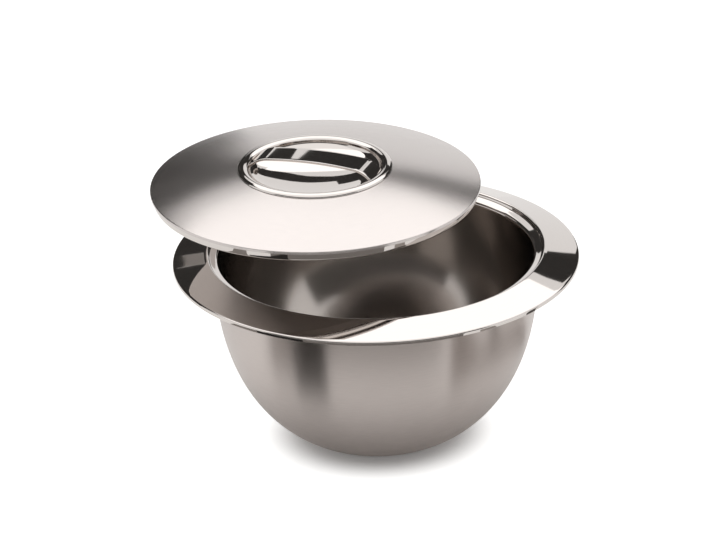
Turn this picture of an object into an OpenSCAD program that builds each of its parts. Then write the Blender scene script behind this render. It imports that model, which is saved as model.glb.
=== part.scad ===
// Insulated serving bowl with a loose lid, in spun stainless steel.
// The origin is the centre of the foot, on the table, with +Z up and the cook's side at -Y.
// The lid is drawn where it is held above the bowl, to the left of the seat that it drops into.
// Every shell is a sheet of even thickness, turned about its own axis from one smooth outline.

/* [Rim] */
// Diameter over the outer edge of the sloping rim
rim_d = 290; // [250:1:330]
// Height of the rim's outer edge above the table
rim_h = 136; // [110:1:165]
// Width of the sloping rim, from its outer edge in to its crest
flange_w = 25.4; // [16:0.2:34]
// Rise of the crest above the rim's outer edge
crest_rise = 7.3; // [4:0.1:12]
// Depth of the rolled edge that hangs from the rim
hem_h = 2.6; // [1.5:0.1:5]
// Depth of the step inside the crest, which holds the lid in place
step_h = 3.1; // [2.4:0.1:4]
// Run of the step's wall
step_run = 1; // [0.6:0.1:1.6]
// Width of the ledge that the lid lies on
seat_w = 6.2; // [5:0.1:9]
// Fall of the ledge towards the inside
seat_fall = 1.6; // [0.4:0.1:2.4]

/* [Bowl] */
// Thickness of the steel sheet
sheet = 1; // [0.6:0.1:1.2]
// Air gap between the two walls just under the rim
wall_gap = 1.35; // [0.8:0.05:3]
// Height of the inner floor above the table
floor_h = 14; // [10:0.5:24]
// Fullness of the outer wall's curve, where 2 is an ellipse
outer_power = 2.35; // [2:0.05:3]
// Fullness of the inner wall's curve, where 2 is an ellipse
inner_power = 2.05; // [2:0.05:2.3]

/* [Foot] */
// Diameter of the flat foot
foot_d = 88; // [80:1:110]
// Diameter of the recess under the foot
recess_d = 72; // [60:1:76]
// Thickness of the plate that fills the recess, level with the foot
plate_t = 1.6; // [1:0.1:3]
// Diameter of the filling hole behind the plate
fill_d = 12; // [8:1:20]

/* [Lid] */
// Diameter of the lid
lid_d = 235.4; // [232:0.1:236]
// Height of the lid's edge band
band_h = 7.7; // [6:0.1:9]
// Height of the cover's turned-down edge
skirt_h = 2.1; // [1.5:0.1:3]
// Radius of the cover's spherical dome
dome_r = 419; // [360:1:700]
// Depth of the shallow dish in the lid's underside
pan_h = 5; // [3:0.5:8]
// Diameter of that dish's flat bottom
pan_d = 150; // [120:1:180]
// Distance of the lid's axis from the bowl's, to the left
lid_left = 41.6; // [0:0.1:60]
// Distance of the lid's axis from the bowl's, to the back
lid_back = 10.9; // [0:0.1:30]
// Height that the lid is held above its seat
lid_lift = 41.3; // [20:0.1:120]

/* [Handle] */
// Outer diameter of the bead round the finger cup
cup_d = 110.4; // [100:0.2:120]
// Width of the bead
bead_w = 7.7; // [6:0.1:10]
// Height of the bead above the cover
bead_h = 2.2; // [1.4:0.1:3]
// Depth of the finger cup below the cover
cup_h = 11; // [9:0.5:14]
// Fullness of the cup's curve, where 2 is an ellipse
cup_power = 2.05; // [2:0.05:2.6]
// Width of the handle's strap
strap_w = 22; // [18:0.5:30]
// Thickness of the strap
strap_t = 1.8; // [1.2:0.1:2.4]
// Height of the strap's top above the cup's edge
strap_rise = 9.1; // [7:0.1:13]
// Radius of the strap's gentle arch
arch_r = 290; // [200:1:400]
// Length of the arch, between the shoulders
arch_l = 66; // [58:1:70]
// Radius of the shoulders where the strap turns down to the cup's edge
shoulder_r = 20; // [14:0.5:24]
// Slope of the strap's legs, in degrees
leg_slope = 40; // [32:1:50]
// Turn of the handle about the lid's axis, in degrees
handle_turn = -20.5; // [-90:0.5:90]

/* [Fit] */
// Running clearance between the lid and the bowl
lid_gap = 0.3; // [0.2:0.05:0.5]
// Clearance between pieces that are assembled together
fit_gap = 0.25; // [0.15:0.05:0.4]

/* [Hidden] */
$fn = 96;
steps = 44;
arc_steps = 8;

// Rim and seat, from the outside in
rim_r = rim_d / 2;
crest_r = rim_r - flange_w;
crest_z = rim_h + crest_rise;
ledge_r = crest_r - step_run;
ledge_z = crest_z - step_h;
wall_r = ledge_r - seat_w;
wall_z = ledge_z - seat_fall;
crest_round = 1.7 * sheet;
foot_round = 1.2 * sheet;
mouth_round = 3 * sheet;
hem_round = 1.6 * sheet;

// Walls and foot
belly_r = wall_r + sheet + wall_gap + sheet;
foot_r = foot_d / 2;
recess_r = recess_d / 2;
recess_run = plate_t;
fill_r = fill_d / 2;
belly_depth = rim_h / pow(1 - pow(foot_r / belly_r, outer_power), 1 / outer_power);
inner_depth = rim_h - floor_h;
shell_top = wall_z - 1.1 * sheet;
fill_to = 0.97;

// Lid, measured from the plane of the cover's edge
lid_r = lid_d / 2;
skirt_round = 1.2 * sheet;
liner_r = lid_r - sheet - fit_gap;
band_taper = 0.6 * sheet;
band_round = 1.5 * sheet;
pan_r = pan_d / 2;
pan_edge_r = liner_r - band_taper - 7 * sheet;
dome_drop = sqrt(dome_r * dome_r - lid_r * lid_r);
seat_r = liner_r - band_taper;
seat_z = ledge_z - seat_fall * (ledge_r - seat_r) / seat_w;
lid_closed_z = seat_z + lid_gap + band_h;
lid_place = [-lid_left, lid_back, lid_closed_z + lid_lift];

// Handle, measured from the same plane
cup_r = cup_d / 2;
cup_z = dome(cup_r);
dish_r = cup_r - bead_w;
hole_r = dish_r + sheet + fit_gap;
arch_a = asin(arch_l / 2 / arch_r);
strap_z = cup_z + strap_rise;
leg_l = dish_r / 3;

// Height of the cover's dome above its edge, at a distance from the lid's axis
function dome(r) = sqrt(dome_r * dome_r - r * r) - dome_drop;

function unit(v) = v / norm(v);
function side(a, b) = sign(a[0] * b[1] - a[1] * b[0]);

// Points of a round corner of radius r at b, between the lines to a and c
function corner(a, b, c, r) =
    let (
        u = unit(a - b),
        v = unit(c - b),
        half = acos(u * v) / 2,
        start = b + u * r / tan(half),
        centre = b + unit(u + v) * r / sin(half),
        from = atan2(start[1] - centre[1], start[0] - centre[0]),
        turn = side(b - a, c - b) * (180 - 2 * half)
    )
    [for (i = [0:arc_steps]) centre + r * [cos(from + turn * i / arc_steps), sin(from + turn * i / arc_steps)]];

// An outline of [x, y, radius] points, with each corner rounded to its radius
function rounded(pts) =
    let (flat = [for (p = pts) [p[0], p[1]]], last = len(pts) - 1)
    [for (i = [0:last])
        each (i == 0 || i == last || pts[i][2] == 0
            ? [flat[i]]
            : corner(flat[i - 1], flat[i], flat[i + 1], pts[i][2]))];

// The outline moved sideways by t, to the left of its direction for a positive t
function shifted(path, t) =
    let (last = len(path) - 1)
    [for (i = [0:last])
        let (
            before = unit(path[max(i, 1)] - path[max(i, 1) - 1]),
            after = unit(path[min(i, last - 1) + 1] - path[min(i, last - 1)]),
            mid = unit(before + after),
            p = path[i] + t / (mid * before) * [-mid[1], mid[0]]
        )
        [max(p[0], 0), p[1]]];

function backwards(list) = [for (i = [len(list) - 1:-1:0]) list[i]];
function after_first(list) = [for (i = [1:len(list) - 1]) list[i]];

// Quarter of a rounded bowl curve, from the share of its sweep at from to the share at to
// It starts on the axis, a depth below z, and ends at radius r on the height z
function bowl_curve(r, depth, power, z, from = 0, to = 1) =
    [for (i = [0:steps])
        let (a = 90 * (1 - from - (to - from) * i / steps))
        [r * pow(cos(a), 2 / power), z - depth * pow(sin(a), 2 / power)]];

// Share of the sweep at which the bowl curve reaches the radius x
function sweep_at(x, r, power) = 1 - acos(pow(x / r, power / 2)) / 90;

// A turned sheet of thickness t on the left of the outline, or on its right for a negative t
module turned_sheet(path, t = sheet)
    rotate_extrude() polygon(concat(path, backwards(shifted(path, t))));

// Inner face of the bowl, from the middle of the floor up and out to the rolled edge
function inner_face() = concat(
    bowl_curve(wall_r, inner_depth, inner_power, rim_h),
    after_first(rounded([
        [wall_r, rim_h, 0],
        [wall_r, wall_z, mouth_round],
        [ledge_r, ledge_z, foot_round],
        [crest_r, crest_z, crest_round],
        [rim_r, rim_h, hem_round],
        [rim_r, rim_h - hem_h, 0]
    ]))
);

// Outer face of the outer wall, from the foot up to the underside of the ledge
function outer_face() = concat(
    bowl_curve(belly_r, belly_depth, outer_power, rim_h, sweep_at(foot_r, belly_r, outer_power)),
    [[belly_r, shell_top]]
);

// Underside of the foot, from the filling hole out over the recess
function foot_face() = [
    [fill_r, plate_t],
    [recess_r, plate_t],
    [recess_r + recess_run, 0]
];

module outer_shell()
    color("#b4b1ab")
        turned_sheet(concat(foot_face(), outer_face()));

module inner_bowl()
    color("#d9d9d6")
        turned_sheet(inner_face(), -sheet);

// Foam between the walls, up to where the gap closes
module bowl_insulation()
    color("#e8dfae")
        let (
            skin = sheet + fit_gap,
            from = sweep_at(foot_r, belly_r, outer_power),
            outer = bowl_curve(belly_r - skin, belly_depth - skin, outer_power, rim_h, from, fill_to),
            inner = bowl_curve(wall_r + skin, inner_depth + skin, inner_power, rim_h, 0, fill_to)
        )
        rotate_extrude() polygon(concat(
            [[0, plate_t + skin], [recess_r + skin, plate_t + skin]],
            outer,
            backwards(inner)
        ));

// Stopper of the hole through which the foam was poured
module fill_plug()
    color("#3a3a3c")
        translate([0, 0, plate_t])
            cylinder(r = fill_r - fit_gap, h = sheet);

// Round plate under the foot, level with the ring that the bowl stands on
module base_plate()
    color("#c9c9c6")
        cylinder(r = recess_r - fit_gap, h = plate_t);

module at_lid() translate(lid_place) children();

// Domed cover with its edge turned down over the liner
module lid_cover()
    color("#c6c4bf")
        at_lid()
            let (
                dome_pts = [for (i = [0:steps]) let (r = hole_r + (lid_r - skirt_round - hole_r) * i / steps)
                    [r, dome(r)]],
                face = concat(
                    [for (i = [0:steps - 1]) dome_pts[i]],
                    rounded([
                        [dome_pts[steps][0], dome_pts[steps][1], 0],
                        [lid_r, 0, skirt_round / 2],
                        [lid_r, -skirt_h, 0]
                    ])
                )
            )
            turned_sheet(face, -sheet);

// Lower pan of the lid, with the polished edge band
module lid_liner()
    color("#dededb")
        at_lid()
            turned_sheet(rounded([
                [0, -band_h - pan_h, 0],
                [pan_r, -band_h - pan_h, 4 * band_round],
                [pan_edge_r, -band_h, 2 * band_round],
                [liner_r - band_taper, -band_h, band_round],
                [liner_r, -skirt_h / 2, 0]
            ]));

// Foam inside the lid, round the finger cup
module lid_insulation()
    color("#e8dfae")
        at_lid()
            let (
                skin = sheet + fit_gap,
                edge_r = pan_edge_r,
                top_r = cup_r,
                under = [for (i = [0:arc_steps]) let (r = top_r + (edge_r - top_r) * i / arc_steps)
                    [r, dome(r) - 1.1 * skin]],
                cup = bowl_curve(dish_r + skin, cup_h + skin, cup_power, cup_z, 0, fill_to)
            )
            rotate_extrude() polygon(concat(
                [[0, -band_h - pan_h + skin], [pan_r, -band_h - pan_h + skin], [edge_r, -band_h + skin]],
                backwards(under),
                backwards(cup)
            ));

// Inner face of the finger cup, from the middle of its floor to the bead's inner foot
function cup_face() = bowl_curve(dish_r, cup_h, cup_power, cup_z);

// Polished cup for the fingers, with a half-round bead lying on the cover
module handle_cup()
    color("#e2e2e0")
        at_lid()
            let (
                bead = [for (i = [0:2 * arc_steps]) let (a = 180 - 180 * i / (2 * arc_steps))
                    [cup_r - bead_w / 2 + bead_w / 2 * cos(a), cup_z + fit_gap + bead_h * sin(a)]],
                neck = [for (i = [0:arc_steps]) let (r = cup_r + (hole_r - cup_r) * i / arc_steps)
                    [r, dome(r) + fit_gap]],
                outside = bowl_curve(dish_r + sheet, cup_h + sheet, cup_power, cup_z)
            )
            rotate_extrude() polygon(concat(cup_face(), bead, neck, backwards(outside)));

// Right half of the strap's upper line, from the middle out to the end of the leg
function strap_half(t) = concat(
    [for (i = [0:arc_steps]) let (a = arch_a * i / arc_steps)
        [(arch_r - t) * sin(a), strap_z - arch_r + (arch_r - t) * cos(a)]],
    [for (i = [1:arc_steps]) let (a = arch_a + (leg_slope - arch_a) * i / arc_steps)
        shoulder_centre() + (shoulder_r - t) * [sin(a), cos(a)]],
    [shoulder_centre() + (shoulder_r - t) * [sin(leg_slope), cos(leg_slope)]
        + leg_l * [cos(leg_slope), -sin(leg_slope)]]
);
function shoulder_centre() =
    [(arch_r - shoulder_r) * sin(arch_a), strap_z - arch_r + (arch_r - shoulder_r) * cos(arch_a)];
function mirrored(path) = [for (p = backwards(path)) [-p[0], p[1]]];
function strap_line(t) = concat(mirrored(strap_half(t)), after_first(strap_half(t)));

// Arched strap across the cup, with its ends cut to the cup's wall
module handle_strap()
    color("#e2e2e0")
        at_lid()
            intersection() {
                rotate([0, 0, handle_turn])
                    rotate([90, 0, 0])
                        translate([0, 0, -strap_w / 2])
                            linear_extrude(height = strap_w)
                                polygon(concat(strap_line(0), backwards(strap_line(strap_t))));
                rotate_extrude() polygon(concat(
                    bowl_curve(dish_r - fit_gap, cup_h - fit_gap, cup_power, cup_z),
                    [[dish_r - fit_gap, strap_z + strap_t], [0, strap_z + strap_t]]
                ));
            }

outer_shell();
inner_bowl();
bowl_insulation();
fill_plug();
base_plate();
lid_cover();
lid_liner();
lid_insulation();
handle_cup();
handle_strap();
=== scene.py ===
"""Looks of an insulated stainless serving bowl with a loose lid.

The round pieces are turned about their axes by one Geometry Nodes tree, from outlines that follow the
same sizes as the construction, and the handle's strap is swept along its line. Lengths are in metres,
+Z is up and the viewer stands at -Y.
"""

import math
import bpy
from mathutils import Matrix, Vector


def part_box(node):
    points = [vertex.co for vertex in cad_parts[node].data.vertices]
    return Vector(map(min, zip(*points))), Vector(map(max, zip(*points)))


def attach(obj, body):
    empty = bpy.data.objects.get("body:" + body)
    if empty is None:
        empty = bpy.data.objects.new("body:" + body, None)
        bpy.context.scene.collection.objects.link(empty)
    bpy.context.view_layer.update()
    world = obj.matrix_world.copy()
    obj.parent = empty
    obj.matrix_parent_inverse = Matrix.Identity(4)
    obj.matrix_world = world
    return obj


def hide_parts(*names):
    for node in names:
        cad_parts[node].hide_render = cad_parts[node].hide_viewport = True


bl_info = {
    "name": "Insulated Serving Bowl",
    "version": (1, 0, 0),
    "blender": (4, 5, 0),
    "location": "3D Viewport > Sidebar > Bowl",
    "description": "Builds a double-walled steel bowl, its lid with a sunk strap handle, and a studio",
    "category": "Object",
}

import bpy
from bpy.props import FloatProperty, FloatVectorProperty, IntProperty, PointerProperty
from bpy.types import Operator, Panel, PropertyGroup
from mathutils import Matrix, Vector

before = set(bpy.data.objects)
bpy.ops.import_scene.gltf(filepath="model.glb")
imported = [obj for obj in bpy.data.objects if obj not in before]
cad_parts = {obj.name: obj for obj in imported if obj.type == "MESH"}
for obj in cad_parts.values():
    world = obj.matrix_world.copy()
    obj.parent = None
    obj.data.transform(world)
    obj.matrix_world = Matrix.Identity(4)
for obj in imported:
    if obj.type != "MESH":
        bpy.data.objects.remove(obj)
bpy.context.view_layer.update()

MM = 0.001
RIM_LOW, RIM_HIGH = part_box("inner_bowl")
LID_LOW, LID_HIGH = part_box("lid_cover")
CUP_LOW, CUP_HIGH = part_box("handle_cup")
BOWL_AXIS = Vector((0, 0, 0))
LID_MIDDLE = Vector(((LID_LOW[0] + LID_HIGH[0]) / 2, (LID_LOW[1] + LID_HIGH[1]) / 2, 0))


def length(name, text, default):
    """A length property in metres."""
    return FloatProperty(
        name=name, description=text, default=default, min=0.0, unit="LENGTH", precision=4
    )


def slope(name, text, degrees):
    """An angle property, with its default in degrees."""
    return FloatProperty(name=name, description=text, default=math.radians(degrees), unit="ROTATION")


def number(name, text, default, lowest=0.0):
    """A plain number property."""
    return FloatProperty(name=name, description=text, default=default, min=lowest)


def share(name, text, default):
    """A plain number from 0 to 1."""
    return FloatProperty(
        name=name, description=text, default=default, min=0.0, max=1.0, subtype="FACTOR"
    )


def colour(name, text, default):
    """A linear colour property."""
    return FloatVectorProperty(
        name=name, description=text, default=default, size=3, min=0, max=1, subtype="COLOR"
    )


class BowlSizes(PropertyGroup):
    """Sizes of the bowl's two walls, its rim and its foot"""

    rim_r: length("Rim radius", "Radius of the rim's outer edge", (RIM_HIGH[0] - RIM_LOW[0]) / 2)
    rim_h: length("Rim height", "Height of the rim's outer edge above the table", 136 * MM)
    flange_w: length("Rim width", "Width of the sloping rim", 25.4 * MM)
    crest_rise: length("Crest rise", "Rise of the crest above the outer edge", 7.3 * MM)
    hem_h: length("Hem", "Depth of the rolled edge", 2.6 * MM)
    step_h: length("Step", "Depth of the step inside the crest", 3.1 * MM)
    step_run: length("Step run", "Run of the step's wall", 1.0 * MM)
    seat_w: length("Ledge width", "Width of the ledge that the lid lies on", 6.2 * MM)
    seat_fall: length("Ledge fall", "Fall of the ledge towards the inside", 1.6 * MM)
    sheet: length("Sheet", "Thickness of the steel", 1.0 * MM)
    wall_gap: length("Wall gap", "Air gap between the walls under the rim", 1.35 * MM)
    floor_h: length("Floor height", "Height of the inner floor above the table", 14 * MM)
    foot_r: length("Foot radius", "Radius of the flat foot", 44 * MM)
    recess_r: length("Recess radius", "Radius of the recess under the foot", 36 * MM)
    plate_t: length("Plate", "Thickness of the plate under the foot", 1.6 * MM)
    fill_r: length("Filling hole", "Radius of the filling hole behind the plate", 6 * MM)
    outer_power: number("Outer fullness", "Fullness of the outer curve", 2.35)
    inner_power: number("Inner fullness", "Fullness of the inner curve", 2.05)


class LidSizes(PropertyGroup):
    """Sizes of the lid, measured from the plane of its cover's edge"""

    lid_r: length("Lid radius", "Radius of the lid", (LID_HIGH[0] - LID_LOW[0]) / 2)
    band_h: length("Band", "Height of the polished edge band", 7.7 * MM)
    skirt_h: length("Skirt", "Height of the cover's turned-down edge", 2.1 * MM)
    dome_r: length("Dome", "Radius of the cover's dome", 419 * MM)
    pan_h: length("Pan depth", "Depth of the dish in the underside", 5 * MM)
    pan_r: length("Pan radius", "Radius of that dish's flat bottom", 75 * MM)
    cup_r: length("Bead radius", "Outer radius of the cup's bead", (CUP_HIGH[0] - CUP_LOW[0]) / 2)
    bead_w: length("Bead width", "Width of the bead", 7.7 * MM)
    bead_h: length("Bead height", "Height of the bead above the cover", 2.2 * MM)
    cup_h: length("Cup depth", "Depth of the finger cup", 11 * MM)
    cup_power: number("Cup fullness", "Fullness of the cup's curve", 2.05)
    fit_gap: length("Fit gap", "Clearance between pieces assembled together", 0.25 * MM)


class StrapSizes(PropertyGroup):
    """Sizes of the handle's strap"""

    strap_w: length("Strap width", "Width of the strap", 22 * MM)
    strap_t: length("Strap thickness", "Thickness of the strap", 1.8 * MM)
    strap_rise: length("Strap rise", "Height of the strap's top above the cup's edge", 9.1 * MM)
    arch_r: length("Arch radius", "Radius of the gentle arch", 290 * MM)
    arch_l: length("Arch length", "Length of the arch between the shoulders", 66 * MM)
    shoulder_r: length("Shoulder radius", "Radius of the shoulders", 20 * MM)
    leg_slope: slope("Leg slope", "Slope of the legs", 40)
    turn: slope("Turn", "Turn about the lid's axis", -20.5)
    edge_round: length("Edge", "Rounding of the strap's long edges", 0.5 * MM)


class Finish(PropertyGroup):
    """Colours and gloss of the steel, the foam and the stopper"""

    wall_colour: colour("Wall", "Satin steel of the outer wall", (0.588, 0.53, 0.50))
    lid_colour: colour("Lid", "Satin steel of the lid", (0.592, 0.548, 0.527))
    polish_colour: colour("Polish", "Mirror polished steel", (0.642, 0.598, 0.568))
    # Inside: the steel's own colour darkened with painted shade for the dark inside of the covered bowl
    inside_shaded_colour: colour("Inside", "Polished steel of the inner wall", (0.47, 0.43, 0.40))
    foam_colour: colour("Foam", "Insulating foam", (0.78, 0.70, 0.48))
    rubber_colour: colour("Rubber", "Stopper under the foot", (0.03, 0.03, 0.032))
    wall_rough: share("Wall roughness", "Roughness of the outer wall", 0.36)
    lid_rough: share("Lid roughness", "Roughness of the lid's cover", 0.24)
    pan_rough: share("Pan roughness", "Roughness of the lid's underside", 0.45)
    polish_rough: share("Polish roughness", "Roughness of the polished steel", 0.035)
    inside_rough: share("Inside roughness", "Roughness of the inner wall below the ledge", 0.17)
    wall_grain: share("Wall grain", "How far the outer wall smears light across its lines", 0.8)
    lid_grain: share("Lid grain", "How far the lid's cover smears light across its lines", 0.65)


class Studio(PropertyGroup):
    """Camera and light"""

    lens: number("Lens", "Focal length in millimetres", 359.0, 10)
    pale: colour("Pale", "Colour of the floor", (0.93, 0.93, 0.925))
    dark: colour("Flag", "Colour of the dark flags", (0.053, 0.05, 0.048))
    glow: number("Glow", "Radiance that the soft boxes behind add", 0.72)
    top_glow: number("Top glow", "Radiance that the soft boxes above and in front add", 0.25)
    shadow_from: length("Shadow from", "Distance from the axis where the shadow fades", 52 * MM)
    shadow_to: length("Shadow to", "Distance from the axis where the floor is white", 90 * MM)
    lift: number("Lift", "Glow that lifts the floor to white", 0.85)
    mirrored: share("Mirrored", "Share of that glow that the steel reflects", 0.6)
    segments: IntProperty(
        name="Segments", description="Faces round each turned shell", default=224, min=24
    )


# Outlines

CURVE_STEPS = 72
CORNER_STEPS = 10
LONGEST_STEP = 1.6 * MM
SAME_POINT = MM / 1000


def corner(before, point, after, radius):
    """Points of a round corner between two straight lines."""
    a, b, c = Vector(before), Vector(point), Vector(after)
    u, v = (a - b).normalized(), (c - b).normalized()
    half = math.acos(max(-1.0, min(1.0, u.dot(v)))) / 2
    start = b + u * (radius / math.tan(half))
    centre = b + (u + v).normalized() * (radius / math.sin(half))
    first = math.atan2(start.y - centre.y, start.x - centre.x)
    way = 1 if (b.x - a.x) * (c.y - b.y) - (b.y - a.y) * (c.x - b.x) > 0 else -1
    turn = way * (math.pi - 2 * half)
    angles = [first + turn * i / CORNER_STEPS for i in range(CORNER_STEPS + 1)]
    return [centre + radius * Vector((math.cos(t), math.sin(t))) for t in angles]


def rounded(points):
    """An outline of (x, z, radius) points with its corners rounded."""
    flat = [Vector(p[:2]) for p in points]
    path = []
    for i, point in enumerate(points):
        inner = 0 < i < len(points) - 1 and point[2] > 0
        path += corner(flat[i - 1], flat[i], flat[i + 1], point[2]) if inner else [flat[i]]
    return path


def bowl_curve(radius, depth, power, top, first=0.0):
    """A rounded bowl curve up to its edge, from the axis or from the share of its sweep in first."""
    path = []
    for i in range(CURVE_STEPS + 1):
        angle = math.pi / 2 * (1 - first - (1 - first) * i / CURVE_STEPS)
        across, down = math.cos(angle), math.sin(angle)
        reach = radius * max(across, 0) ** (2 / power)
        path.append(Vector((reach, top - depth * down ** (2 / power))))
    return path


def sweep_at(x, radius, power):
    """The share of a bowl curve's sweep at which it reaches the radius x."""
    return 1 - math.acos((x / radius) ** (power / 2)) / (math.pi / 2)


def single(path):
    """The outline without points that lie on each other."""
    kept = [path[0]]
    for point in path[1:]:
        if (point - kept[-1]).length > SAME_POINT:
            kept.append(point)
    return kept


def shifted(path, offset):
    """The outline moved sideways, to the left of its direction for a positive offset."""
    moved = []
    for i, point in enumerate(path):
        low, high = max(i, 1), min(i, len(path) - 2)
        before = (path[low] - path[low - 1]).normalized()
        after = (path[high + 1] - path[high]).normalized()
        mid = (before + after).normalized()
        place = point + Vector((-mid.y, mid.x)) * (offset / mid.dot(before))
        moved.append(Vector((max(place.x, 0), place.y)))
    return moved


def sheet_section(path, thickness):
    """The closed section of a sheet on the outline, to its left for a positive thickness."""
    path = single(path)
    return path + shifted(path, thickness)[::-1]


def spaced_ring(ring, longest):
    """The closed ring with long lines cut into short ones."""
    points = []
    for a, b in zip(ring, ring[1:] + ring[:1]):
        cuts = max(1, math.ceil((b - a).length / longest))
        points += [a.lerp(b, i / cuts) for i in range(cuts)]
    return points


def spaced(section):
    """The closed section, wound left, with long lines cut into short ones so that shading stays true."""
    ring = section + [section[0]]
    area = sum(a.x * b.y - b.x * a.y for a, b in zip(ring, ring[1:]))
    ring = ring if area > 0 else ring[::-1]
    points = spaced_ring(ring[:-1], LONGEST_STEP)
    return points + [points[0]]


# Turned shells

SHARP_ANGLE = math.radians(38)


def add_socket(tree, name, kind, way="INPUT", default=None):
    """A named socket on a node tree's interface."""
    socket = tree.interface.new_socket(name=name, in_out=way, socket_type=kind)
    if default is not None:
        socket.default_value = default
    return socket


def math_node(tree, operation, first, second=None):
    """The output of a Math node with its inputs linked or set."""
    node = tree.nodes.new("ShaderNodeMath")
    node.operation = operation
    for slot, value in zip(node.inputs, (first, second)):
        if isinstance(value, bpy.types.NodeSocket):
            tree.links.new(value, slot)
        elif value is not None:
            slot.default_value = value
    return node.outputs[0]


def turning_tree():
    """Geometry Nodes that turn an outline of points about the Z axis into a closed shell."""
    tree = bpy.data.node_groups.new("Turned Shell", "GeometryNodeTree")
    tree.is_modifier = True
    add_socket(tree, "Outline", "NodeSocketGeometry")
    add_socket(tree, "Segments", "NodeSocketInt", default=128)
    add_socket(tree, "Finish", "NodeSocketMaterial")
    add_socket(tree, "Shell", "NodeSocketGeometry", "OUTPUT")
    new, link = tree.nodes.new, tree.links.new
    given, out = new("NodeGroupInput"), new("NodeGroupOutput")

    count = new("GeometryNodeAttributeDomainSize")
    link(given.outputs["Outline"], count.inputs["Geometry"])
    points = count.outputs["Point Count"]

    grid = new("GeometryNodeMeshGrid")
    grid.inputs["Size X"].default_value = 1
    grid.inputs["Size Y"].default_value = 1
    link(math_node(tree, "ADD", given.outputs["Segments"], 1), grid.inputs["Vertices X"])
    link(points, grid.inputs["Vertices Y"])

    place = new("ShaderNodeSeparateXYZ")
    link(new("GeometryNodeInputPosition").outputs[0], place.inputs[0])
    around = math_node(tree, "ADD", place.outputs["X"], 0.5)
    angle = math_node(tree, "MULTIPLY", around, 2 * math.pi)
    along = math_node(tree, "ADD", place.outputs["Y"], 0.5)
    last = math_node(tree, "SUBTRACT", points, 1)
    index = math_node(tree, "ROUND", math_node(tree, "MULTIPLY", along, last))

    sample = new("GeometryNodeSampleIndex")
    sample.data_type = "FLOAT_VECTOR"
    link(given.outputs["Outline"], sample.inputs["Geometry"])
    link(new("GeometryNodeInputPosition").outputs[0], sample.inputs["Value"])
    link(index, sample.inputs["Index"])
    outline = new("ShaderNodeSeparateXYZ")
    link(sample.outputs[0], outline.inputs[0])

    turned = new("ShaderNodeCombineXYZ")
    for axis, wave in (("X", "COSINE"), ("Y", "SINE")):
        swing = math_node(tree, wave, angle)
        link(math_node(tree, "MULTIPLY", outline.outputs["X"], swing), turned.inputs[axis])
    link(outline.outputs["Z"], turned.inputs["Z"])

    move = new("GeometryNodeSetPosition")
    merge = new("GeometryNodeMergeByDistance")
    merge.inputs["Distance"].default_value = SAME_POINT
    smooth = new("GeometryNodeSetShadeSmooth")
    real = new("GeometryNodeRealizeInstances")
    paint = new("GeometryNodeSetMaterial")
    link(grid.outputs["Mesh"], move.inputs["Geometry"])
    link(turned.outputs[0], move.inputs["Position"])
    link(move.outputs[0], merge.inputs["Geometry"])
    link(merge.outputs[0], smooth.inputs[0])
    link(smooth.outputs[0], real.inputs[0])
    link(real.outputs[0], paint.inputs["Geometry"])
    link(given.outputs["Finish"], paint.inputs["Material"])
    link(paint.outputs[0], out.inputs["Shell"])
    return tree


def identifiers(tree):
    """Socket name to identifier, for a modifier's inputs."""
    return {s.name: s.identifier for s in tree.interface.items_tree if s.in_out == "INPUT"}


def linked_object(name, data):
    """A new object with this data, linked to the scene."""
    obj = bpy.data.objects.new(name, data)
    bpy.context.collection.objects.link(obj)
    return obj


def baked(obj, name):
    """The object's evaluated mesh as a plain object of its own; the object itself is removed."""
    mesh = bpy.data.meshes.new_from_object(obj.evaluated_get(bpy.context.evaluated_depsgraph_get()))
    mesh.name = name
    bpy.data.objects.remove(obj)
    return linked_object(name, mesh)


def turned_shell(name, section, finish, axis=BOWL_AXIS):
    """A shell with this closed (radius, height) section, turned about a vertical line through axis."""
    tree = bpy.data.node_groups.get("Turned Shell") or turning_tree()
    line = spaced(section)
    outline = bpy.data.meshes.new(name + "_outline")
    edges = [(i, i + 1) for i in range(len(line) - 1)]
    outline.from_pydata([(p.x, 0, p.y) for p in line], edges, [])
    obj = linked_object(name, outline)
    turning = obj.modifiers.new("Turning", "NODES")
    turning.node_group = tree
    ids = identifiers(tree)
    turning[ids["Segments"]] = bpy.context.scene.bowl_studio.segments
    turning[ids["Finish"]] = finish
    shell = baked(obj, name)
    shell.data.transform(Matrix.Translation(axis))
    shell.data.set_sharp_from_angle(angle=SHARP_ANGLE)
    return shell


def two_finishes(shell, first, second, is_second):
    """Gives a shell its first finish, and its second on the faces whose centre passes the test."""
    shell.data.materials.clear()
    shell.data.materials.append(first)
    shell.data.materials.append(second)
    for face in shell.data.polygons:
        face.material_index = int(is_second(face.center))


def finish_piece(piece, body, slot, *nodes):
    """Lets a piece ride on its body in place of CAD nodes; slot, a material slot of the record, is not
    used.
    """
    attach(piece, body)
    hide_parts(*nodes)


# Finishes

# Turning lines of each steel: grains per metre across them, depth, and change of tone
WALL_LINES = (2400, 0.008 * MM, 0.10)
LID_LINES = (2400, 0.006 * MM, 0.08)
PAN_LINES = (1800, 0.008 * MM, 0.05)
INSIDE_LINES = (1600, 0.003 * MM, 0.05)
POLISH_LINES = (900, 0.0006 * MM, 0.03)
# Grain of each soft material: roughness, grains per metre and depth
FOAM_GRAIN = (0.95, 900, 0.15 * MM)
RUBBER_GRAIN = (0.6, 2500, 0.04 * MM)
SOFT_CHANGE = 0.12


def group_node(material_tree, group, **values):
    """A placed shader group with its inputs set by name."""
    node = material_tree.nodes.new("ShaderNodeGroup")
    node.node_tree = group
    for key, value in values.items():
        node.inputs[key].default_value = value
    return node


def vector_node(tree, operation, *sources):
    """A Vector Math node with its vectors linked."""
    node = tree.nodes.new("ShaderNodeVectorMath")
    node.operation = operation
    for slot, source in zip(node.inputs, sources):
        tree.links.new(source, slot)
    return node


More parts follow.
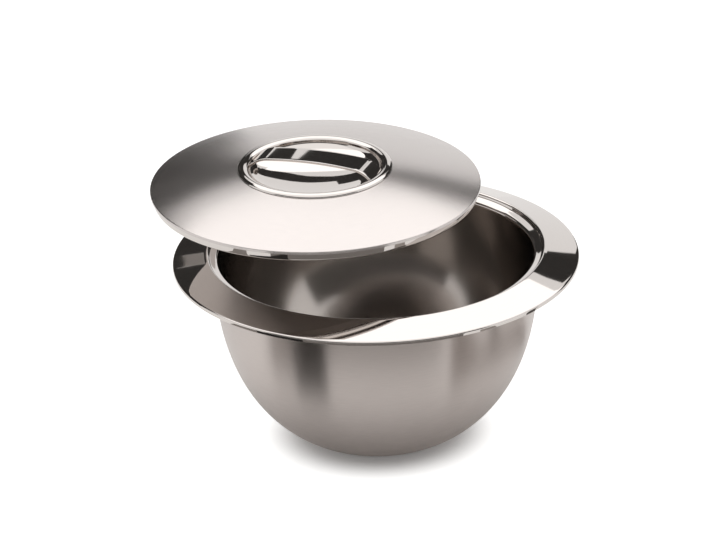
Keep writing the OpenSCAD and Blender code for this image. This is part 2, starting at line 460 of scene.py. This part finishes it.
def turning_lines_group():
    """Fine uneven lines round an axis, as a satin wheel leaves them on turned steel."""
    name = "Turning Lines"
    if name in bpy.data.node_groups:
        return bpy.data.node_groups[name]
    tree = bpy.data.node_groups.new(name, "ShaderNodeTree")
    add_socket(tree, "Axis", "NodeSocketVector")
    add_socket(tree, "Across", "NodeSocketFloat", default=2600.0)
    add_socket(tree, "Around", "NodeSocketFloat", default=10.0)
    add_socket(tree, "Lines", "NodeSocketFloat", "OUTPUT")
    add_socket(tree, "Clouds", "NodeSocketFloat", "OUTPUT")
    new, link = tree.nodes.new, tree.links.new
    given, out = new("NodeGroupInput"), new("NodeGroupOutput")
    here = new("ShaderNodeTexCoord").outputs["Object"]
    place = vector_node(tree, "SUBTRACT", here, given.outputs["Axis"])
    split = new("ShaderNodeSeparateXYZ")
    link(place.outputs[0], split.inputs[0])
    flat = new("ShaderNodeCombineXYZ")
    link(split.outputs["X"], flat.inputs["X"])
    link(split.outputs["Y"], flat.inputs["Y"])
    radius = vector_node(tree, "LENGTH", flat.outputs[0])
    way = vector_node(tree, "NORMALIZE", flat.outputs[0])
    around = vector_node(tree, "SCALE", way.outputs[0])
    link(given.outputs["Around"], around.inputs["Scale"])
    reach = math_node(tree, "SUBTRACT", split.outputs["Z"], radius.outputs["Value"])
    rise = new("ShaderNodeCombineXYZ")
    link(math_node(tree, "MULTIPLY", reach, given.outputs["Across"]), rise.inputs["Z"])
    where = vector_node(tree, "ADD", around.outputs[0], rise.outputs[0])
    lines = new("ShaderNodeTexNoise")
    lines.inputs["Scale"].default_value = 1.0
    lines.inputs["Detail"].default_value = 3.0
    lines.inputs["Roughness"].default_value = 0.7
    link(where.outputs[0], lines.inputs["Vector"])
    clouds = new("ShaderNodeTexNoise")
    clouds.inputs["Scale"].default_value = 14.0
    clouds.inputs["Detail"].default_value = 2.0
    link(place.outputs[0], clouds.inputs["Vector"])
    link(lines.outputs[0], out.inputs["Lines"])
    link(clouds.outputs[0], out.inputs["Clouds"])
    return tree


def ramp(tree, value, low, high):
    """A number from 0 to 1 mapped to the range from low to high."""
    node = tree.nodes.new("ShaderNodeMapRange")
    node.inputs["To Min"].default_value = low
    node.inputs["To Max"].default_value = high
    tree.links.new(value, node.inputs["Value"])
    return node.outputs["Result"]


def tinted(tree, value, base, change):
    """A base colour made darker and lighter by a mask."""
    mix = tree.nodes.new("ShaderNodeMix")
    mix.data_type = "RGBA"
    mix.inputs["A"].default_value = (*[c * (1 - change) for c in base], 1)
    mix.inputs["B"].default_value = (*[min(1, c * (1 + change)) for c in base], 1)
    tree.links.new(value, mix.inputs["Factor"])
    return mix.outputs["Result"]


def steel(name, base, roughness, axis, turning, anisotropy=0.0):
    """Turned steel, with fine lines round an axis and soft handling marks."""
    across, depth, change = turning
    material = bpy.data.materials.new(name)
    material.use_nodes = True
    tree = material.node_tree
    shader = tree.nodes["Principled BSDF"]
    shader.inputs["Metallic"].default_value = 1.0
    marks = group_node(tree, turning_lines_group(), Axis=axis, Across=across)
    lines, clouds = marks.outputs["Lines"], marks.outputs["Clouds"]
    tree.links.new(tinted(tree, lines, base, change), shader.inputs["Base Color"])
    spread = math_node(
        tree, "ADD", ramp(tree, lines, -change, change), ramp(tree, clouds, -change, change)
    )
    rough = math_node(tree, "MULTIPLY", math_node(tree, "ADD", spread, 1.0), roughness)
    tree.links.new(rough, shader.inputs["Roughness"])
    bump = tree.nodes.new("ShaderNodeBump")
    bump.inputs["Strength"].default_value = 1.0
    bump.inputs["Distance"].default_value = depth
    tree.links.new(lines, bump.inputs["Height"])
    tree.links.new(bump.outputs["Normal"], shader.inputs["Normal"])
    if anisotropy > 0:
        shader.inputs["Anisotropic"].default_value = anisotropy
        shader.inputs["Anisotropic Rotation"].default_value = 0.25
        tangent = tree.nodes.new("ShaderNodeTangent")
        tangent.direction_type = "RADIAL"
        tangent.axis = "Z"
        tree.links.new(tangent.outputs[0], shader.inputs["Tangent"])
    return material


def polished(name, axis):
    """Mirror polished steel with the faintest of turning lines."""
    look = bpy.context.scene.bowl_finish
    return steel(name, look.polish_colour, look.polish_rough, axis, POLISH_LINES)


def soft_material(name, base, grain):
    """Foam or rubber with a fine grain."""
    roughness, scale, depth = grain
    material = bpy.data.materials.new(name)
    material.use_nodes = True
    tree = material.node_tree
    shader = tree.nodes["Principled BSDF"]
    cells = tree.nodes.new("ShaderNodeTexVoronoi")
    cells.inputs["Scale"].default_value = scale
    tree.links.new(tree.nodes.new("ShaderNodeTexCoord").outputs["Object"], cells.inputs["Vector"])
    tint = tinted(tree, cells.outputs["Distance"], base, SOFT_CHANGE)
    tree.links.new(tint, shader.inputs["Base Color"])
    shader.inputs["Roughness"].default_value = roughness
    bump = tree.nodes.new("ShaderNodeBump")
    bump.inputs["Distance"].default_value = depth
    tree.links.new(cells.outputs["Distance"], bump.inputs["Height"])
    tree.links.new(bump.outputs["Normal"], shader.inputs["Normal"])
    return material


def paint_node(node, material):
    """Gives a kept CAD node its finish."""
    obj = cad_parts[node]
    obj.data.materials.clear()
    obj.data.materials.append(material)


# Bowl

# Bend radii of the inner wall, and how far the outer wall ends under the ledge, in sheet thicknesses
MOUTH_BEND = 3
LEDGE_BEND = 1.2
CREST_BEND = 1.7
HEM_BEND = 1.6
TOP_DROP = 1.1
# Rounding of the foot plate's edges
PLATE_EDGE = 0.3 * MM


def mouth_radius(bowl):
    """Radius of the inner wall at the bowl's mouth."""
    return bowl.rim_r - bowl.flange_w - bowl.step_run - bowl.seat_w


def inner_face(bowl):
    """Inner face of the bowl, from the middle of the floor out to the rolled edge."""
    sheet = bowl.sheet
    crest_r, crest_z = bowl.rim_r - bowl.flange_w, bowl.rim_h + bowl.crest_rise
    ledge_r, ledge_z = crest_r - bowl.step_run, crest_z - bowl.step_h
    wall_r, wall_z = mouth_radius(bowl), ledge_z - bowl.seat_fall
    depth = bowl.rim_h - bowl.floor_h
    return bowl_curve(wall_r, depth, bowl.inner_power, bowl.rim_h) + rounded([
        (wall_r, bowl.rim_h, 0),
        (wall_r, wall_z, MOUTH_BEND * sheet),
        (ledge_r, ledge_z, LEDGE_BEND * sheet),
        (crest_r, crest_z, CREST_BEND * sheet),
        (bowl.rim_r, bowl.rim_h, HEM_BEND * sheet),
        (bowl.rim_r, bowl.rim_h - bowl.hem_h, 0),
    ])


def outer_face(bowl):
    """Outer face of the outer wall, from the filling hole under the foot up to the ledge."""
    power, plate = bowl.outer_power, bowl.plate_t
    belly_r = mouth_radius(bowl) + bowl.sheet + bowl.wall_gap + bowl.sheet
    depth = bowl.rim_h / (1 - (bowl.foot_r / belly_r) ** power) ** (1 / power)
    ledge_z = bowl.rim_h + bowl.crest_rise - bowl.step_h - bowl.seat_fall
    first = sweep_at(bowl.foot_r, belly_r, power)
    foot = [(bowl.fill_r, plate, 0), (bowl.recess_r, plate, 0), (bowl.recess_r + plate, 0, 0)]
    curve = bowl_curve(belly_r, depth, power, bowl.rim_h, first)
    return rounded(foot) + curve + [Vector((belly_r, ledge_z - TOP_DROP * bowl.sheet))]


class OBJECT_OT_bowl_walls(Operator):
    """Makes the outer wall, the inner wall with its rim, and the plate under the foot"""

    bl_idname = "object.bowl_walls"
    bl_label = "Bowl Walls"

    def execute(self, context):
        bowl, look = context.scene.bowl_sizes, context.scene.bowl_finish
        satin = steel(
            "Satin wall", look.wall_colour, look.wall_rough, BOWL_AXIS, WALL_LINES, look.wall_grain
        )
        polish = polished("Polished bowl", BOWL_AXIS)
        outer = turned_shell("bowl_outer_wall", sheet_section(outer_face(bowl), bowl.sheet), satin)
        finish_piece(outer, "bowl", "brushed_steel", "outer_shell")

        inner = turned_shell("bowl_inner_wall", sheet_section(inner_face(bowl), -bowl.sheet), polish)
        # The inner wall below the ledge is darker than the polish: painted shade for the bowl's dark
        # inside
        inside = steel("Inside", look.inside_shaded_colour, look.inside_rough, BOWL_AXIS, INSIDE_LINES)
        wall_r, wall_top = mouth_radius(bowl) + bowl.sheet, bowl.rim_h
        two_finishes(
            inner, polish, inside, lambda c: c.z < wall_top and math.hypot(c.x, c.y) < wall_r
        )
        finish_piece(inner, "bowl", "polished_steel", "inner_bowl")

        plate_r = bowl.recess_r - context.scene.lid_sizes.fit_gap
        section = rounded([
            (0, 0, 0),
            (plate_r, 0, PLATE_EDGE),
            (plate_r, bowl.plate_t, PLATE_EDGE),
            (0, bowl.plate_t, 0),
        ])
        plate = turned_shell("foot_plate", section, polish)
        finish_piece(plate, "bowl", "polished_steel", "base_plate")
        return {"FINISHED"}


class OBJECT_OT_bowl_filling(Operator):
    """Finishes the foam between the walls, its stopper and the foam in the lid"""

    bl_idname = "object.bowl_filling"
    bl_label = "Filling"

    def execute(self, context):
        look = context.scene.bowl_finish
        foam = soft_material("Foam", look.foam_colour, FOAM_GRAIN)
        rubber = soft_material("Rubber", look.rubber_colour, RUBBER_GRAIN)
        for node in ("bowl_insulation", "lid_insulation"):
            paint_node(node, foam)
        paint_node("fill_plug", rubber)
        return {"FINISHED"}


# Lid

# Edge of the cover, and taper, bends and flat edge of the pan, in sheet thicknesses
COVER_EDGE = 1.2
BAND_TAPER = 0.6
BAND_BEND = 1.5
PAN_EDGE = 7


def lid_axis(lid):
    """The point where the lid's axis meets the plane of its cover's edge."""
    return LID_MIDDLE + Vector((0, 0, LID_LOW[2] + lid.skirt_h))


def dome(lid, r):
    """Height of the cover above its edge plane, at a distance from the lid's axis."""
    return math.sqrt(lid.dome_r**2 - r**2) - math.sqrt(lid.dome_r**2 - lid.lid_r**2)


def dish_radius(lid):
    """Inner radius of the finger cup, inside its bead."""
    return lid.cup_r - lid.bead_w


def hole_radius(bowl, lid):
    """Radius of the cover's hole for the finger cup."""
    return dish_radius(lid) + bowl.sheet + lid.fit_gap


class OBJECT_OT_bowl_lid(Operator):
    """Makes the lid's domed cover and the pan under it"""

    bl_idname = "object.bowl_lid"
    bl_label = "Lid"

    def execute(self, context):
        scene = context.scene
        sheet, lid, look = scene.bowl_sizes.sheet, scene.lid_sizes, scene.bowl_finish
        axis = lid_axis(lid)
        satin = steel(
            "Satin lid", look.lid_colour, look.lid_rough, axis, LID_LINES, look.lid_grain
        )
        polish = polished("Polished lid", axis)
        hole_r, edge = hole_radius(scene.bowl_sizes, lid), COVER_EDGE * sheet
        width = lid.lid_r - edge - hole_r
        steps = [hole_r + width * i / CURVE_STEPS for i in range(CURVE_STEPS + 1)]
        top = [Vector((r, dome(lid, r))) for r in steps]
        face = top[:-1] + rounded([
            (*top[-1], 0),
            (lid.lid_r, 0, edge / 2),
            (lid.lid_r, -lid.skirt_h, 0),
        ])
        cover = turned_shell("lid_cover_shell", sheet_section(face, -sheet), satin, axis)
        finish_piece(cover, "lid", "lid_steel", "lid_cover")

        liner_r = lid.lid_r - sheet - lid.fit_gap
        foot_r, bend = liner_r - BAND_TAPER * sheet, BAND_BEND * sheet
        matt = steel("Satin pan", look.lid_colour, look.pan_rough, axis, PAN_LINES)
        pan = rounded([
            (0, -lid.band_h - lid.pan_h, 0),
            (lid.pan_r, -lid.band_h - lid.pan_h, 4 * bend),
            (foot_r - PAN_EDGE * sheet, -lid.band_h, 2 * bend),
            (foot_r, -lid.band_h, bend),
            (liner_r, -lid.skirt_h / 2, 0),
        ])
        under = turned_shell("lid_pan", sheet_section(pan, sheet), polish, axis)
        matt_r = foot_r - bend
        two_finishes(
            under, polish, matt, lambda c: math.hypot(c.x - axis.x, c.y - axis.y) < matt_r
        )
        finish_piece(under, "lid", "polished_steel", "lid_liner")
        return {"FINISHED"}


# Handle

ARCH_STEPS = 24
BEAD_STEPS = 2 * CORNER_STEPS
# Step of the search for the cup's wall, and the longest face across the strap
LEG_STEP = 0.05 * MM
STRAP_STEP = 2 * MM


def cup_section(bowl, lid, cup_z):
    """The closed section of the finger cup with its bead."""
    inside = bowl_curve(dish_radius(lid), lid.cup_h, lid.cup_power, cup_z)
    middle, half = lid.cup_r - lid.bead_w / 2, lid.bead_w / 2
    low = cup_z + lid.fit_gap
    turns = [math.pi * (1 - i / BEAD_STEPS) for i in range(BEAD_STEPS + 1)]
    bead = [Vector((middle + half * math.cos(t), low + lid.bead_h * math.sin(t))) for t in turns]
    width = hole_radius(bowl, lid) - lid.cup_r
    neck = [lid.cup_r + width * i / CORNER_STEPS for i in range(CORNER_STEPS + 1)]
    under = [Vector((r, dome(lid, r) + lid.fit_gap)) for r in neck]
    outer_r, depth = dish_radius(lid) + bowl.sheet, lid.cup_h + bowl.sheet
    outside = bowl_curve(outer_r, depth, lid.cup_power, cup_z)[::-1]
    return single(inside + bead + under + outside)


def strap_path(strap, cup_z):
    """Middle line of the strap's right half, from the crown of the arch to the foot of the shoulder."""
    half_t = strap.strap_t / 2
    top = cup_z + strap.strap_rise
    lean = math.asin(strap.arch_l / 2 / strap.arch_r)
    arch, centre_z = strap.arch_r - half_t, top - strap.arch_r
    path = []
    for i in range(ARCH_STEPS + 1):
        t = lean * i / ARCH_STEPS
        path.append(Vector((arch * math.sin(t), centre_z + arch * math.cos(t))))
    bend = strap.shoulder_r - half_t
    reach = strap.arch_r - strap.shoulder_r
    hub = Vector((reach * math.sin(lean), centre_z + reach * math.cos(lean)))
    for i in range(1, ARCH_STEPS + 1):
        t = lean + (strap.leg_slope - lean) * i / ARCH_STEPS
        path.append(hub + bend * Vector((math.sin(t), math.cos(t))))
    return path


def leg_direction(strap):
    """Direction of the strap's straight right leg."""
    return Vector((math.cos(strap.leg_slope), -math.sin(strap.leg_slope)))


def leg_length(strap, lid, cup_z, start, across):
    """How far a straight leg runs on from its start until it meets the cup's wall."""
    down = leg_direction(strap)
    wall, depth, run = dish_radius(lid) - lid.fit_gap, lid.cup_h - lid.fit_gap, 0.0
    while True:
        point = start + down * run
        sink = min(1.0, max(0.0, (cup_z - point.y) / depth))
        wall_here = wall * (1 - sink**lid.cup_power) ** (1 / lid.cup_power)
        if math.hypot(point.x, across) >= wall_here:
            return run
        run += LEG_STEP


def strap_ring(strap):
    """The strap's cross-section with rounded edges, as a closed ring of (across, up) points."""
    r, w, t = strap.edge_round, strap.strap_w / 2, strap.strap_t / 2
    outline = rounded([(-w, 0, 0), (-w, t, r), (w, t, r), (w, -t, r), (-w, -t, r), (-w, 0, 0)])
    return spaced_ring(outline[:-1], STRAP_STEP)


def strap_mesh(strap, lid, cup_z, finish):
    """The strap as a band with rounded edges, swept along its line, with ends that fit the cup."""
    half, ring, leg = strap_path(strap, cup_z), strap_ring(strap), leg_direction(strap)
    rows = []
    for i, point in enumerate(half):
        ahead = leg
        if i < len(half) - 1:
            ahead = (half[i + 1] - half[max(i - 1, 0)]).normalized()
        up = Vector((-ahead.y, ahead.x))
        rows.append([(point.x + up.x * p.y, p.x, point.y + up.y * p.y) for p in ring])
    ends = []
    for x, y, z in rows[-1]:
        start = Vector((x, z))
        end = start + leg * leg_length(strap, lid, cup_z, start, y)
        ends.append((end.x, y, end.y))
    rows.append(ends)
    rows = [[(-x, y, z) for x, y, z in row] for row in rows[:0:-1]] + rows
    verts = [v for row in rows for v in row]
    n = len(ring)
    faces = []
    for i in range(len(rows) - 1):
        for j in range(n):
            k = (j + 1) % n
            faces.append((i * n + j, i * n + k, (i + 1) * n + k, (i + 1) * n + j))
    last = (len(rows) - 1) * n
    faces.append(tuple(range(n)))
    faces.append(tuple(last + j for j in reversed(range(n))))
    mesh = bpy.data.meshes.new("strap")
    mesh.from_pydata(verts, [], faces)
    mesh.validate()
    mesh.materials.append(finish)
    for polygon in mesh.polygons:
        polygon.use_smooth = True
    mesh.set_sharp_from_angle(angle=SHARP_ANGLE)
    return linked_object("strap", mesh)


class OBJECT_OT_bowl_handle(Operator):
    """Makes the finger cup with its bead, and the arched strap across it"""

    bl_idname = "object.bowl_handle"
    bl_label = "Handle"

    def execute(self, context):
        scene = context.scene
        lid, strap = scene.lid_sizes, scene.strap_sizes
        axis = lid_axis(lid)
        polish = polished("Polished cup", axis)
        cup_z = dome(lid, lid.cup_r)
        cup = turned_shell("finger_cup", cup_section(scene.bowl_sizes, lid, cup_z), polish, axis)
        finish_piece(cup, "lid", "polished_steel", "handle_cup")

        bar = strap_mesh(strap, lid, cup_z, polish)
        bar.data.transform(Matrix.Translation(axis) @ Matrix.Rotation(strap.turn, 4, "Z"))
        finish_piece(bar, "lid", "polished_steel", "handle_strap")
        return {"FINISHED"}


# Flags

# Height of the point on the bowl's axis from which flags and soft boxes are placed
EYE_HEIGHT = 0.14
# Faces of a flag up its height, and the longest of them round it in degrees
FLAG_ROWS = 8
FLAG_STEP = 4.0
# The darkness of a flag counts with this power
GREY_POWER = 4
FLAGS = {
    # name: (distance, darkness, [(azimuth, from elevation, to elevation), ...])
    # Azimuth 0 is behind the bowl and grows to the right; angles are in degrees
    "flag_left_low": (
        2.0, 1.0,
        [(-72, -3, 20.8), (-20.15, -3, 20.8), (-20.1, -3, 22.1), (-18.1, -3, 17.5), (-18.05, -3, 20.8),
         (-17.15, -3, 20.8), (-17.1, -3, 16.5), (-9, -3, 16.5), (-6, -3, 0)],
    ),
    "flag_left_high": (
        2.0, 1.0,
        [(-72, 20.8, 42), (-26.5, 20.8, 42), (-24.5, 20.8, 33), (-20.15, 20.8, 31), (-20.1, 24.1, 31),
         (-18.1, 20.3, 30.4), (-18.05, 20.8, 30.4), (-17.15, 20.8, 30.2), (-17.1, 16.5, 30.2),
         (-14, 16.5, 29.4), (-9, 16.5, 28.8)],
    ),
    "edge_glint": (2.0, 0.58, [(-20.1, 22, 24.2), (-18.1, 17.4, 20.4)]),
    "strip_left": (2.0, 1.0, [(-9, 19.5, 28.6), (-4.7, 20, 28.4)]),
    "strip_back": (
        2.0, 1.0,
        [(-4.7, 23.8, 28.4), (-1, 24, 29.5), (3.3, 25.2, 32.5), (6.7, 25.6, 33.4), (18, 24, 33.4),
         (19.5, 23.4, 32)],
    ),
    "flag_right": (
        2.0, 1.0,
        [(19.5, -3, 32), (23.2, -3, 32.3), (24.1, -3, 31), (25, -3, 27), (27, -3, 27), (28, -3, 32),
         (38, -3, 30), (64, -3, 22)],
    ),
    "flag_front": (2.0, 0.75, [(118, 3, 36), (242, 3, 36)]),
    "card_front": (0.33, 0.6, [(142, -25, -3), (215, -25, -3)]),
    "card_right": (
        0.2, 0.5,
        [(74, -36, -30), (92, -34, -22), (126, -34, -22), (136, -36, -8), (142, -36, -8)],
    ),
    "post_left": (0.2, 1.0, [(-153, -38, -2), (-134, -38, -2)]),
    "post_side": (0.25, 0.54, [(-132, -33, -2), (-114, -33, -14)]),
    "post_right": (0.25, 0.7, [(107, -33, -2), (113, -33, -2)]),
}


def sky_point(azimuth, elevation, reach):
    """A point at a distance from the point at EYE_HEIGHT; the angles are in degrees."""
    azimuth, elevation = math.radians(azimuth), math.radians(elevation)
    out = reach * math.cos(elevation)
    height = EYE_HEIGHT + reach * math.sin(elevation)
    return (out * math.sin(azimuth), out * math.cos(azimuth), height)


def spans(outline):
    """The (azimuth, low, high) points of a flag with long spans cut into short ones."""
    points = [outline[0]]
    for a, b in zip(outline, outline[1:]):
        cuts = math.ceil((b[0] - a[0]) / FLAG_STEP)
        points += [tuple(p + (q - p) * i / cuts for p, q in zip(a, b)) for i in range(1, cuts + 1)]
    return points


def flag(name, reach, outline, finish):
    """A curved card round the bowl, seen only in its polish."""
    columns = spans(outline)
    verts = []
    for azimuth, low, high in columns:
        for i in range(FLAG_ROWS + 1):
            verts.append(sky_point(azimuth, low + (high - low) * i / FLAG_ROWS, reach))
    tall = FLAG_ROWS + 1
    faces = [
        (j * tall + i, (j + 1) * tall + i, (j + 1) * tall + i + 1, j * tall + i + 1)
        for j in range(len(columns) - 1) for i in range(FLAG_ROWS)
    ]
    mesh = bpy.data.meshes.new(name)
    mesh.from_pydata(verts, [], faces)
    mesh.materials.append(finish)
    card = linked_object(name, mesh)
    card.visible_camera = False
    card.visible_diffuse = False
    card.visible_shadow = False


def flag_cloth(tone, darkness):
    """Black cloth, or a greyer one for a lower darkness."""
    cloth = bpy.data.materials.new("Flag cloth")
    cloth.use_nodes = True
    shade = cloth.node_tree.nodes["Principled BSDF"]
    shade.inputs["Base Color"].default_value = (*[c / darkness**GREY_POWER for c in tone], 1)
    shade.inputs["Roughness"].default_value = 1.0
    return cloth


# Floor and background

FLOOR_REACH = 40.0
FLOOR_DROP = 0.1 * MM
# Share of the floor's glow that is left in the middle of the shadow
UNDER_LIFT = 0.12
# Where the mirrored glow starts and is full, as multiples of shadow_from and shadow_to
DIM_FROM = 1.35
DIM_TO = 2.1
# Strength of the background as a light, and where it is seen or mirrored
ROOM_LIGHT = 0.6
ROOM_SEEN = 1.0


def seen_mask(tree):
    """1 for rays that show the background itself: from the camera, a reflection or through glass."""
    path = tree.nodes.new("ShaderNodeLightPath")
    both = math_node(tree, "MAXIMUM", path.outputs["Is Camera Ray"], path.outputs["Is Glossy Ray"])
    return math_node(tree, "MAXIMUM", both, path.outputs["Is Transmission Ray"])


def soft_step(tree, away, start, end, bottom, top):
    """A soft step between two distances, from the height bottom to the height top."""
    node = tree.nodes.new("ShaderNodeMapRange")
    node.interpolation_type = "SMOOTHSTEP"
    for name, value in (("From Min", start), ("From Max", end), ("To Min", bottom), ("To Max", top)):
        node.inputs[name].default_value = value
    tree.links.new(away.outputs["Value"], node.inputs["Value"])
    return node.outputs["Result"]


def floor_glow(tree, studio, foot_r):
    """Strength of the glow that lifts the floor: full away from the bowl, less where it is mirrored."""
    away = tree.nodes.new("ShaderNodeVectorMath")
    away.operation = "LENGTH"
    tree.links.new(tree.nodes.new("ShaderNodeTexCoord").outputs["Object"], away.inputs[0])
    path = tree.nodes.new("ShaderNodeLightPath")
    bounced = math_node(
        tree, "MAXIMUM", path.outputs["Is Glossy Ray"], path.outputs["Is Transmission Ray"]
    )
    near, far = studio.shadow_from, studio.shadow_to
    clear = soft_step(tree, away, near, far, UNDER_LIFT, 1.0)
    dim = soft_step(tree, away, DIM_FROM * near, DIM_TO * far, 0.0, studio.mirrored)
    seen = math_node(tree, "MULTIPLY", path.outputs["Is Camera Ray"], clear)
    under_foot = math_node(tree, "LESS_THAN", away.outputs["Value"], foot_r)
    foot_light = math_node(tree, "MULTIPLY", under_foot, studio.mirrored)
    soft = math_node(tree, "MULTIPLY", bounced, math_node(tree, "MAXIMUM", dim, foot_light))
    return math_node(tree, "MULTIPLY", math_node(tree, "ADD", seen, soft), studio.lift)


def pale_floor(studio, foot_r):
    """Floor material: pale, lifted to white away from the bowl, holding its shadow, clear from below."""
    material = bpy.data.materials.new("Pale floor")
    material.use_nodes = True
    tree = material.node_tree
    tree.nodes.remove(tree.nodes["Principled BSDF"])
    matt = tree.nodes.new("ShaderNodeBsdfDiffuse")
    matt.inputs["Color"].default_value = (*studio.pale, 1)
    glow = tree.nodes.new("ShaderNodeEmission")
    glow.inputs["Color"].default_value = (*studio.pale, 1)
    tree.links.new(floor_glow(tree, studio, foot_r), glow.inputs["Strength"])
    both = tree.nodes.new("ShaderNodeAddShader")
    tree.links.new(matt.outputs[0], both.inputs[0])
    tree.links.new(glow.outputs[0], both.inputs[1])
    one_sided = tree.nodes.new("ShaderNodeMixShader")
    below = tree.nodes.new("ShaderNodeNewGeometry").outputs["Backfacing"]
    tree.links.new(below, one_sided.inputs["Fac"])
    tree.links.new(both.outputs[0], one_sided.inputs[1])
    tree.links.new(tree.nodes.new("ShaderNodeBsdfTransparent").outputs[0], one_sided.inputs[2])
    tree.links.new(one_sided.outputs[0], tree.nodes["Material Output"].inputs["Surface"])
    return material


def make_floor(scene):
    """The floor, a hair under the foot."""
    mesh = bpy.data.meshes.new("floor")
    far, low = FLOOR_REACH, -FLOOR_DROP
    corners = [(-far, -far, low), (far, -far, low), (far, far, low), (-far, far, low)]
    mesh.from_pydata(corners, [], [(0, 1, 2, 3)])
    mesh.materials.append(pale_floor(scene.bowl_studio, scene.bowl_sizes.foot_r))
    linked_object("floor", mesh)


def make_room(scene):
    """The world: white where it is seen or mirrored, and a soft light elsewhere."""
    world = bpy.data.worlds.new("Pale room")
    scene.world = world
    world.use_nodes = True
    tree = world.node_tree
    background = tree.nodes["Background"]
    background.inputs["Color"].default_value = (1, 1, 1, 1)
    strength = ramp(tree, seen_mask(tree), ROOM_LIGHT, ROOM_SEEN)
    tree.links.new(strength, background.inputs["Strength"])


# Lamps and camera

BOX_REACH = 2.2
EYE_POINT = (0, 0, EYE_HEIGHT)
# Place of the soft box overhead, and the point of the table that it faces
TOP_PLACE = (0, -0.35, EYE_HEIGHT + 2.16)
TOP_TARGET = (0, -0.35, 0)
# Place and direction of the camera, and its roll about that direction
VIEW_PLACE = Vector((0.0, -4.6412, 2.2218))
VIEW_WAY = Vector((-0.00254, 0.91139, -0.41154))
VIEW_ROLL = math.radians(-1.618)
VIEW_FAR = 100


def area_lamp(name, place, target, width, height, radiance):
    """A soft box of this size whose face adds this radiance to the room's; it lights the steel alone."""
    data = bpy.data.lights.new(name, "AREA")
    data.shape = "RECTANGLE"
    data.size, data.size_y = width, height
    data.energy = radiance * math.pi * width * height
    lamp = bpy.data.objects.new(name, data)
    lamp.location = place
    lamp.rotation_euler = (Vector(target) - Vector(place)).to_track_quat("-Z", "Y").to_euler()
    lamp.visible_diffuse = False
    bpy.context.collection.objects.link(lamp)


def make_lamps(studio):
    """Two soft boxes behind the bowl, one overhead and one in front."""
    behind, others = studio.glow, studio.top_glow
    back, strip = sky_point(0, 58.5, BOX_REACH), sky_point(2.5, 35.4, BOX_REACH)
    front = sky_point(180, 50, BOX_REACH)
    area_lamp("Back soft box", back, EYE_POINT, 4.4, 1.7, behind)
    area_lamp("Low strip box", strip, EYE_POINT, 0.8, 0.155, behind)
    area_lamp("Top soft box", TOP_PLACE, TOP_TARGET, 3.6, 1.5, others)
    area_lamp("Front soft box", front, EYE_POINT, 3.0, 1.0, others)


def make_camera(scene):
    """The camera, in front of the bowl and above it, looking down at it through a long lens."""
    data = bpy.data.cameras.new("Camera")
    data.lens = scene.bowl_studio.lens
    data.clip_end = VIEW_FAR
    cam = linked_object("Camera", data)
    right = VIEW_WAY.cross(Vector((0, 0, 1))).normalized()
    up = right.cross(VIEW_WAY)
    across = right * math.cos(VIEW_ROLL) + up * math.sin(VIEW_ROLL)
    above = up * math.cos(VIEW_ROLL) - right * math.sin(VIEW_ROLL)
    turn = Matrix((across, above, -VIEW_WAY)).transposed()
    cam.matrix_world = Matrix.Translation(VIEW_PLACE) @ turn.to_4x4()
    scene.camera = cam


class OBJECT_OT_bowl_stage(Operator):
    """Makes the floor, the background, the flags, the soft light and the camera"""

    bl_idname = "object.bowl_stage"
    bl_label = "Studio"

    def execute(self, context):
        scene = context.scene
        studio = scene.bowl_studio
        make_floor(scene)
        make_room(scene)
        for name, (reach, darkness, outline) in FLAGS.items():
            flag(name, reach, outline, flag_cloth(studio.dark, darkness))
        make_lamps(studio)
        make_camera(scene)
        scene.view_settings.view_transform = "Standard"
        return {"FINISHED"}


# Panel and registration

class VIEW3D_PT_bowl(Panel):
    """Lists the settings and the steps"""

    bl_label = "Serving Bowl"
    bl_idname = "VIEW3D_PT_bowl"
    bl_space_type = "VIEW_3D"
    bl_region_type = "UI"
    bl_category = "Bowl"

    def draw(self, context):
        layout = self.layout
        for step in STEPS:
            layout.operator(step.bl_idname, text=step.bl_label)
        for name in GROUPS:
            group = getattr(context.scene, name)
            box = layout.box()
            box.label(text=group.bl_rna.name)
            for key in group.bl_rna.properties.keys():
                if key not in ("rna_type", "name"):
                    box.prop(group, key)


GROUPS = {
    "bowl_sizes": BowlSizes,
    "lid_sizes": LidSizes,
    "strap_sizes": StrapSizes,
    "bowl_finish": Finish,
    "bowl_studio": Studio,
}
STEPS = (
    OBJECT_OT_bowl_walls,
    OBJECT_OT_bowl_filling,
    OBJECT_OT_bowl_lid,
    OBJECT_OT_bowl_handle,
    OBJECT_OT_bowl_stage,
)


def register():
    for cls in (*GROUPS.values(), *STEPS, VIEW3D_PT_bowl):
        bpy.utils.register_class(cls)
    for name, cls in GROUPS.items():
        setattr(bpy.types.Scene, name, PointerProperty(type=cls))


def unregister():
    for name in GROUPS:
        delattr(bpy.types.Scene, name)
    for cls in reversed((*GROUPS.values(), *STEPS, VIEW3D_PT_bowl)):
        bpy.utils.unregister_class(cls)


def main():
    register()
    bpy.ops.object.bowl_walls()
    bpy.ops.object.bowl_filling()
    bpy.ops.object.bowl_lid()
    bpy.ops.object.bowl_handle()
    bpy.ops.object.bowl_stage()


if __name__ == "__main__":
    main()
